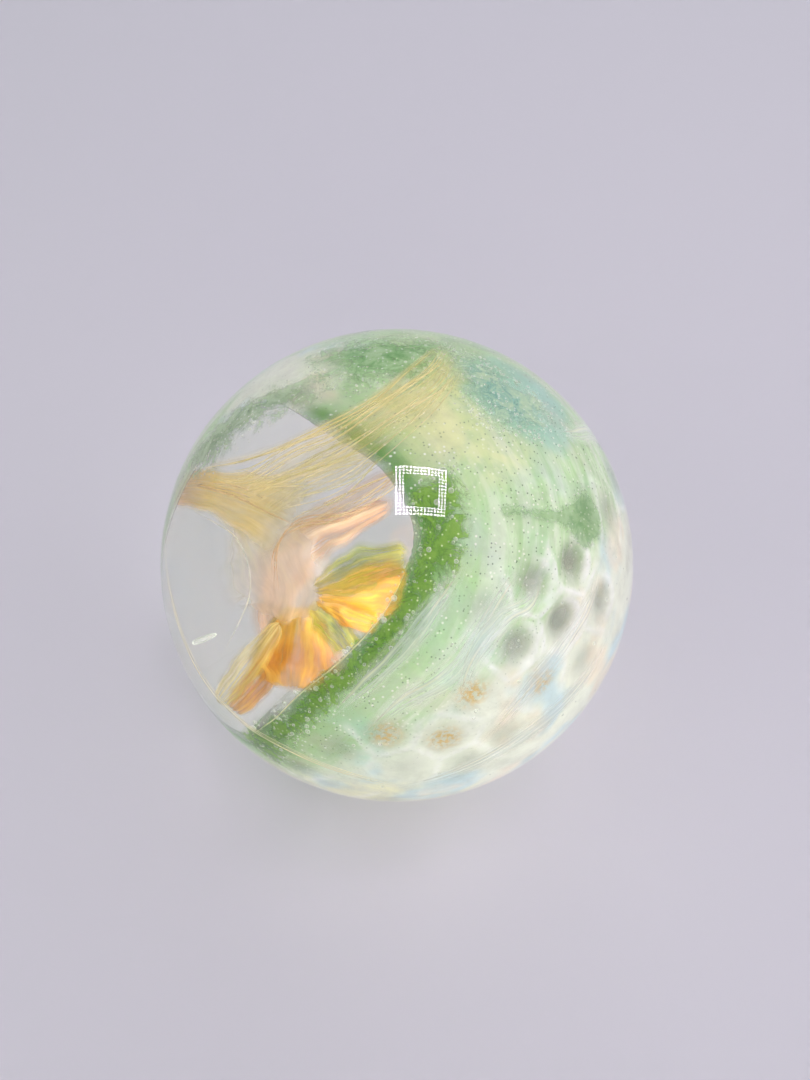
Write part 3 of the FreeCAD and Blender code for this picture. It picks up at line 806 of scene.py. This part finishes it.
foldLines = {
    "orangeFold": (
        "#e8913a", 4, 0.35,
        [(-0.46, -0.37, 0.06), (-0.46, -0.24, 0.14), (-0.46, -0.11, 0.22), (-0.42, -0.04, 0.27),
         (-0.34, 0.0, 0.29), (-0.19, 0.01, 0.30), (-0.09, 0.05, 0.32), (0.01, 0.10, 0.36)]),
    "creamVeil": (
        "#ffffff", 1, 0.06,
        [(-0.84, 0.02, 0.40), (-0.72, -0.03, 0.37), (-0.63, -0.08, 0.34), (-0.58, -0.16, 0.29),
         (-0.57, -0.26, 0.23), (-0.61, -0.35, 0.17), (-0.69, -0.46, 0.10), (-0.78, -0.56, 0.04)]),
    "amberNeck": (
        "#f0b254", 5, 0.5,
        [(-0.90, 0.19, 0.30), (-0.75, 0.13, 0.36), (-0.60, 0.06, 0.40), (-0.46, 0.0, 0.36),
         (-0.34, -0.04, 0.30)]),
}


def buildLeaf(name, node, material, route, widths, thickness, ripple, seed, steps=60, sides=48):
    bm = bmesh.new()
    path = np.array(centre) + smoothPath(route, steps) * coreRadius
    halfWide = taper(widths, steps) * mm
    ends = easedEnds(steps + 1, 4) ** 0.5
    halfWide = halfWide * ends
    wrapTube(bm, path, halfWide, ends * thickness * mm, facing, sides, ripple * mm, seed)
    if name in foldLines:
        colour, count, spread, line = foldLines[name]
        linePath = np.array(centre) + smoothPath(line, 70) * coreRadius
        addThreads(bm, random.Random(name), linePath, count, spread, 0.07)
    bmesh.ops.recalc_face_normals(bm, faces=bm.faces)
    piece = finishPiece(bm, name, material, [node])
    if name in foldLines:
        piece.data.materials.append(threadGlass(name + "Lines", colour, 0.75))
    return piece


def buildVeils():
    glass = {
        "neck": veilGlass(
            "amberNeckGlass", veilColours["neck"], 0.85, 5.0, 0.6, 0.6, ends=((1.0, 0.62),)),
        "cream": veilGlass(
            "milkyCreamGlass", veilColours["cream"], 0.75, 3.5, 0.2, 0.6, ends=((0.0, 0.15), (1.0, 0.85))),
        "fold": veilGlass(
            "orangeFoldGlass", veilColours["fold"], 0.65, 4.0, 0.5, 0.5, ends=((0.0, 0.1), (1.0, 0.9))),
        "petal": veilGlass(
            "amberPetalGlass", veilColours["petal"], 0.9, 5.0, 0.6, 0.5,
            ends=((0.0, 0.08), (1.0, 0.93)), pale="#f4cf62"),
        "leafGreen": veilGlass(
            "yellowGreenPetalGlass", veilColours["leafGreen"], 0.85, 5.0, 0.6, 0.5,
            ends=((0.0, 0.08), (1.0, 0.93)), pale="#d9cf6c"),
        "strand": veilGlass("yellowStrandGlass", veilColours["strand"], 0.6, 6.0, 0.6, 0.35),
    }
    for seed, (name, (node, slot, look, thickness, ripple, route, widths)) in enumerate(veils.items()):
        buildLeaf(name, node, glass[look], route, widths, thickness, ripple, seed * 3.1)
    for number, (look, route, widths) in petals.items():
        name, node = f"amberPetal{number}", f"amber_petal_{number}"
        buildLeaf(name, node, glass[look], route, widths, 0.3, 0.5, number * 1.7)
    print("veils", len(veils) + len(petals))


buildVeils()

# ribbons are a soft leaf of drawn glass with fine threads in it:
# node, slot, look, thread colour, threads, spread, thread radius, layer's rise, half widths, route
ribbons = {
    "yellowStrand1": (
        "yellow_strand_1", "yellow_glass", "strand", "#ecdf86", 7, 0.9, 0.06, None, (1.2, 1.6, 1.6, 0.9),
        [(-0.60, 0.03, 0.44), (-0.38, 0.08, 0.58), (-0.20, 0.13, 0.67), (0.0, 0.21, 0.78)]),
    "yellowStrand2": (
        "yellow_strand_2", "yellow_glass", "strand", "#e8d878", 6, 0.8, 0.06, None, (1.0, 1.4, 1.5, 0.9),
        [(-0.52, -0.01, 0.38), (-0.36, 0.03, 0.51), (-0.17, 0.08, 0.59), (0.0, 0.14, 0.68)]),
    "yellowStrand3": (
        "yellow_strand_3", "yellow_glass", "petal", "#f2cf7a", 8, 0.7, 0.05, None, (0.9, 1.2, 1.2, 0.8),
        [(-0.42, -0.03, 0.28), (-0.23, 0.02, 0.40), (-0.05, 0.07, 0.49), (0.08, 0.10, 0.56)]),
    "yellowRibbon1": (
        "yellow_ribbon_1", "yellow_glass", "ribbon", "#f1dd58", 5, 0.25, 0.08, 0.0,
        (0.6, 0.9, 1.0, 1.0, 0.9, 0.6),
        [(174, 38), (180, 54), (178, 68), (129, 80), (80, 70), (69, 50)]),
    "yellowRibbon2": (
        "yellow_ribbon_2", "yellow_glass", "ribbon", "#eedb60", 7, 0.9, 0.07, 0.4,
        (0.8, 1.4, 2.0, 2.2, 2.2, 1.8, 1.0),
        [(-179, 43), (-170, 54), (-173, 68), (178, 79), (83, 80), (64, 68), (67, 53)]),
    "yellowRibbon3": (
        "yellow_ribbon_3", "yellow_glass", "ribbon", "#f0dc8a", 7, 1.3, 0.06, 0.8,
        (0.8, 1.5, 2.2, 2.6, 2.6, 1.6),
        [(-165, 52), (-158, 64), (-150, 76), (60, 86), (50, 74), (58, 60)]),
    "opalWisp1": (
        "opal_wisp_1", "opal_glass", "wisp", "#ffffff", 2, 0.9, 0.03, 0.0, (0.8, 1.6, 2.0, 1.8, 0.9),
        [(-109, 15), (-100, 28), (-89, 39), (-76, 49), (-60, 56)]),
    "opalWisp2": (
        "opal_wisp_2", "opal_glass", "wisp", "#ffffff", 2, 0.9, 0.03, 0.3, (0.8, 1.8, 2.2, 2.0, 0.9),
        [(-102, 10), (-90, 25), (-76, 32), (-57, 44), (-46, 47)]),
    "opalWisp3": (
        "opal_wisp_3", "opal_glass", "wisp", "#ffffff", 2, 0.8, 0.03, 0.6, (0.8, 1.6, 2.0, 2.0, 1.2),
        [(-38, 45), (-48, 40), (-59, 40), (-71, 33), (-77, 20)]),
    "opalWisp4": (
        "opal_wisp_4", "opal_glass", "wisp", "#ffffff", 2, 0.9, 0.03, 0.0, (0.8, 1.8, 2.2, 2.2, 1.2),
        [(-20, 29), (-31, 26), (-46, 23), (-60, 17), (-75, 4)]),
    "opalWisp5": (
        "opal_wisp_5", "opal_glass", "wisp", "#ffffff", 2, 0.9, 0.03, 0.3, (0.8, 1.8, 2.4, 2.0, 0.9),
        [(-95, -8), (-78, -2), (-60, 4), (-40, 8), (-22, 14)]),
    "opalWisp6": (
        "opal_wisp_6", "opal_glass", "wisp", "#ffffff", 2, 0.9, 0.03, 0.6, (0.8, 1.8, 2.2, 2.0, 0.9),
        [(10, 52), (16, 40), (22, 28), (22, 12), (18, -4)]),
}


def buildRibbons():
    soft = {
        "strand": veilGlass(
            "drawnYellowGlass", veilColours["strand"], 0.4, 5.0, 0.4, 0.3, ends=((0.0, 0.1), (1.0, 0.9))),
        "petal": veilGlass(
            "drawnAmberGlass", veilColours["petal"], 0.4, 5.0, 0.4, 0.3, ends=((0.0, 0.1), (1.0, 0.9))),
        "ribbon": veilGlass(
            "softYellowRibbonGlass", veilColours["ribbon"], 0.45, 5.0, 0.1, 0.1, 0.1, ((1.0, 0.85),)),
        "wisp": veilGlass(
            "featheredOpalGlass", veilColours["wisp"], 0.75, 4.0, 0.0, 0.0, 0.05, ((0.0, 0.35), (1.0, 0.65))),
    }
    for name, (node, slot, look, colour, count, spread, radius, rise, widths, route) in ribbons.items():
        dice = random.Random(name)
        bm = bmesh.new()
        if rise is None:
            reach = None
            path = np.array(centre) + smoothPath(route, 60) * coreRadius
            out = facing
        else:
            reach = threadLayer + rise * mm
            out = smoothPath([direction(lon, lat) for lon, lat in route], 80)
            out /= np.linalg.norm(out, axis=1)[:, None]
            path = np.array(centre) + out * reach
        steps = len(path) - 1
        ends = easedEnds(steps + 1, 6) ** 0.5
        halfWide = taper(widths, steps) * ends * mm
        wrapTube(bm, path, halfWide, 0.12 * mm * ends, out, 32, 0.0, 200.0 + 3.7 * len(name))
        addThreads(bm, dice, path, count, spread, radius, reach)
        bmesh.ops.recalc_face_normals(bm, faces=bm.faces)
        piece = finishPiece(bm, name, soft[look], [node])
        most = 0.35 if look == "wisp" else 0.7
        glow = 0.4 if rise is None else 0.05
        piece.data.materials.append(threadGlass(name + "Threads", colour, most, glow))
    print("ribbons", len(ribbons))


buildRibbons()


windowEdgeShape = {
    "bearings": (-60, 52), "lineSize": 0.06 * mm, "rimRadius": 28.6 * mm,
    "rim": [(-174.7, 19.2), (-158, 15.2), (-144, 9.2), (-134, 6.2), (-126, 5), (-115.5, 4.5),
            (-102, 1.7), (-89, -3.2)],
    "rimGlintLines": [(0, 0.11 * mm), (0.5 * mm, 0.08 * mm), (0.9 * mm, 0.05 * mm)],  # depth, half width
}


def buildWindowEdgeAndRimGlints():
    # the bright line where the skin ends at the window, and three painted highlights where the ball's rim
    # bends the light
    shape = windowEdgeShape
    across = (0.3, 0.4, 0.86)
    bm = bmesh.new()
    curve = outlineCurve(skinShape["window"])
    bearing = np.degrees(np.arctan2(curve[:, 1], curve[:, 0]))
    curve = curve[(bearing > shape["bearings"][0]) & (bearing < shape["bearings"][1])]
    path = np.array(centre) + fromChart(curve, skinShape["windowAxis"]) * (fritRadius + 0.5 * mm)
    size = shape["lineSize"] * easedEnds(len(path), 6)
    wrapTube(bm, path, size, size, across, 6)
    rim = smoothPath([direction(lon, lat) for lon, lat in shape["rim"]], 140)
    rim /= np.linalg.norm(rim, axis=1)[:, None]
    for number, (depth, halfWidth) in enumerate(shape["rimGlintLines"]):
        line = np.array(centre) + rim * (shape["rimRadius"] - depth)
        size = halfWidth * easedEnds(len(line), 20)
        wrapTube(bm, line, size, size, across, 6, 0.0, 3.0 * number)
    bmesh.ops.recalc_face_normals(bm, faces=bm.faces)
    finishPiece(bm, "windowEdgeAndRimGlints", threadGlass("brightEdgeAndRimGlintLines", "#fff8cc", 1.0, 0.0), [])


buildWindowEdgeAndRimGlints()

dotShape = {"radius": 2.3 * mm, "half": 0.8 * mm}


def lensGlass(name, colour, most):
    # a clear dot in the skin: the clear one shows only a painted white highlight towards its rim, the honey
    # one its tint, also denser towards the rim
    material, tree = newMaterial(name)
    facingShare = addNode(tree, "ShaderNodeLayerWeight", {"Blend": 0.5}).outputs["Facing"]
    place = addNode(tree, "ShaderNodeTexCoord").outputs["Object"]
    clouds = addNode(tree, "ShaderNodeTexNoise", {
        "Vector": place, "Scale": 1 / (1.2 * mm), "Detail": 3.0}).outputs["Fac"]
    rim = addNode(tree, "ShaderNodeMapRange", {
        "Value": facingShare, "From Min": 0.3, "From Max": 1.0, "To Min": 0.25 * most,
        "To Max": most}).outputs[0]
    cover = addNode(tree, "ShaderNodeMath", {0: rim, 1: clouds}, operation="MULTIPLY").outputs[0]
    throughGlass(tree, toLinear(colour), cover, glow=0.5)
    return material


def buildDots(name, node, centres, material):
    bm = bmesh.new()
    for place in centres:
        out = (place - centre).normalized()
        turn = outwardFrame(out).to_4x4()
        squash = Matrix.Diagonal((dotShape["radius"], dotShape["radius"], dotShape["half"], 1))
        seat = Matrix.Translation(centre + out * coreRadius) @ turn @ squash
        bmesh.ops.create_icosphere(bm, subdivisions=3, radius=1.0, matrix=seat)
    return finishPiece(bm, name, material, [node])


clearDotGlass = lensGlass("clearDotGlass", "#f4f7f4", 0.1)
honeyDotGlass = lensGlass("honeyDotGlass", "#d9a83c", 0.9)
buildDots("clearDotLenses", "clear_dots", clearDots, clearDotGlass)
buildDots("honeyDotLenses", "amber_dots", amberDots, honeyDotGlass)

airSeedShape = {
    # swirl: how many, smallest and largest radius in millimetres
    "greenBand": (420, 0.07, 0.32),
    "leftGreenSwirl": (160, 0.06, 0.2),
    "topGreenSwirl": (380, 0.06, 0.2),
    "tealSwirl": (480, 0.06, 0.2),
    "greenComma": (40, 0.05, 0.14),
    "backGreenSwirl": (120, 0.05, 0.16),
}
seedsInSkin = 420


def buildSeeds():
    dice = np.random.default_rng(7)
    bm = bmesh.new()
    places = []
    for name, (count, low, high) in airSeedShape.items():
        swirl = swirls[name]
        curve = outlineCurve(swirl["outline"])
        flat = dice.uniform(curve.min(0), curve.max(0), (8 * count, 2))
        flat = flat[insideBy(flat, curve)[0] > 0.6][:count]
        for out in fromChart(flat, swirl["axis"]):
            size = low + (high - low) * dice.random() ** 3
            places.append((out * (fritRadius + dice.uniform(-0.9, 0.4) * mm), size * mm))
    around = dice.normal(size=(800, 3))
    around /= np.linalg.norm(around, axis=1)[:, None]
    skinned = insideBy(toChart(around, skinShape["windowAxis"]), outlineCurve(skinShape["window"]))[0] < -1
    for out in around[skinned][:seedsInSkin]:
        size = 0.05 + 0.2 * dice.random() ** 4
        places.append((out * (fritRadius + dice.uniform(-0.8, 0.9) * mm), size * mm))
    # one small ball, repeated: points and faces side by side in one mesh
    bmesh.ops.create_icosphere(bm, subdivisions=2, radius=1.0)
    unit = np.array([v.co for v in bm.verts])
    faces = np.array([[v.index for v in f.verts] for f in bm.faces])
    points = np.concatenate([np.array(centre) + place + unit * size for place, size in places])
    corners = np.concatenate([faces + len(unit) * i for i in range(len(places))])
    every = bpy.data.meshes.new("every")
    every.from_pydata(points.tolist(), [], corners.tolist())
    bm.clear()
    bm.from_mesh(every)
    bpy.data.meshes.remove(every)
    piece = finishPiece(bm, "airSeeds", airSeedWithPaintedRim(), [])
    print("air seeds", len(places), "with", len(piece.data.polygons), "faces")


buildSeeds()


def addLight(name, place, target, size, power, colour, seen=False):
    light = bpy.data.lights.new(name, "AREA")
    light.size = size
    light.energy = power
    light.color = toLinear(colour)[:3]
    lamp = bpy.data.objects.new(name, light)
    lamp.location = place
    lamp.rotation_mode = "QUATERNION"
    lamp.rotation_quaternion = (Vector(target) - Vector(place)).to_track_quat("-Z", "Y")
    lamp.visible_glossy = seen
    lamp.visible_camera = False
    bpy.context.scene.collection.objects.link(lamp)
    return lamp


softLights = {
    # place and target in metres, size in metres, power, colour
    "softLeft": ((-0.5, -0.25, 0.35), (0, 0, 0.03), 0.5, 0.5, "#fff6ea"),
    "softFront": ((0.1, -0.6, 0.16), (0, 0, 0.02), 0.5, 0.55, "#fffbe8"),
    "softBack": ((0.15, 0.6, 0.4), (0, 0, 0.03), 0.6, 0.6, "#f4f6ff"),
    "softRight": ((0.5, -0.1, 0.3), (0, 0, 0.03), 0.4, 0.3, "#ffffff"),
}


def buildStudio():
    bm = bmesh.new()
    bmesh.ops.create_grid(bm, x_segments=1, y_segments=1, size=3.0)
    bmesh.ops.translate(bm, verts=bm.verts, vec=(0, 0, -0.02 * mm))
    mesh = bpy.data.meshes.new("floor")
    bm.to_mesh(mesh)
    bm.free()
    material, tree = newMaterial("paleFloor")
    paint = addNode(tree, "ShaderNodeBsdfPrincipled", {"Base Color": toLinear("#c6c6ca"), "Roughness": 0.7})
    addNode(tree, "ShaderNodeOutputMaterial", {"Surface": paint.outputs[0]})
    mesh.materials.append(material)
    floor = bpy.data.objects.new("floor", mesh)
    bpy.context.scene.collection.objects.link(floor)
    world = bpy.data.worlds.new("studio")
    world.use_nodes = True
    world.node_tree.nodes["Background"].inputs[0].default_value = toLinear("#e8ebf2")
    world.node_tree.nodes["Background"].inputs[1].default_value = 0.7
    bpy.context.scene.world = world
    # a square ring of small bright dots overhead, which the glass mirrors
    panel = addLight("dotPanel", (0.088, 0.004, 0.5), (0.088, 0.004, 0), 0.19, 0.9, "#f6e0f8", seen=True)
    panel.visible_transmission = False
    panel.data.use_nodes = True
    tree = panel.data.node_tree
    spot = addNode(tree, "ShaderNodeNewGeometry").outputs["Parametric"]
    axes = addNode(tree, "ShaderNodeSeparateXYZ", {0: spot})
    ring, dots = [], []
    for axis in (0, 1):
        off = addNode(tree, "ShaderNodeMath", {0: axes.outputs[axis], 1: -0.5}, operation="ADD").outputs[0]
        ring.append(addNode(tree, "ShaderNodeMath", {0: off}, operation="ABSOLUTE").outputs[0])
        cell = addNode(tree, "ShaderNodeMath", {
            0: axes.outputs[axis], 1: 15.0}, operation="MULTIPLY").outputs[0]
        cell = addNode(tree, "ShaderNodeMath", {0: cell}, operation="FRACT").outputs[0]
        cell = addNode(tree, "ShaderNodeMath", {0: cell, 1: -0.5}, operation="ADD").outputs[0]
        dots.append(addNode(tree, "ShaderNodeMath", {0: cell, 1: 2.0}, operation="POWER").outputs[0])
    outer = addNode(tree, "ShaderNodeMath", {0: ring[0], 1: ring[1]}, operation="MAXIMUM").outputs[0]
    inRing = addNode(tree, "ShaderNodeMath", {0: outer, 1: 0.33}, operation="GREATER_THAN").outputs[0]
    far = addNode(tree, "ShaderNodeMath", {0: dots[0], 1: dots[1]}, operation="ADD").outputs[0]
    inDot = addNode(tree, "ShaderNodeMath", {0: far, 1: 0.11}, operation="LESS_THAN").outputs[0]
    both = addNode(tree, "ShaderNodeMath", {0: inRing, 1: inDot}, operation="MULTIPLY").outputs[0]
    power = addNode(tree, "ShaderNodeMath", {0: both, 1: 5.0}, operation="MULTIPLY").outputs[0]
    tree.links.new(power, tree.nodes["Emission"].inputs["Strength"])
    # the clear glass gathers light like a lens: a soft lamp at its centre stands in for that
    gathered = bpy.data.lights.new("gathered", "POINT")
    gathered.energy = 0.026
    gathered.shadow_soft_size = 6 * mm
    lamp = bpy.data.objects.new("gathered", gathered)
    lamp.location = centre + Vector((0.16, -0.22, -0.12)) * coreRadius
    lamp.visible_camera = lamp.visible_glossy = lamp.visible_transmission = False
    bpy.context.scene.collection.objects.link(lamp)
    for name, (place, target, size, power, colour) in softLights.items():
        addLight(name, place, target, size, power, colour)


def buildCamera():
    camera = bpy.data.cameras.new("camera")
    camera.lens = 37.1
    camera.sensor_width = 36
    camera.clip_start = 0.005
    view = bpy.data.objects.new("camera", camera)
    view.location = (0, -76.5 * mm, 150.3 * mm)
    aim = Vector((1.04, 2.64, 29.56)) * mm
    view.rotation_mode = "QUATERNION"
    view.rotation_quaternion = (aim - view.location).to_track_quat("-Z", "Y")
    bpy.context.scene.collection.objects.link(view)
    bpy.context.scene.camera = view


buildStudio()
buildCamera()
scene = bpy.context.scene
scene.cycles.max_bounces = 24
scene.cycles.transmission_bounces = 16
scene.cycles.transparent_max_bounces = 48
scene.cycles.use_denoising = True
scene.view_settings.view_transform = "Standard"
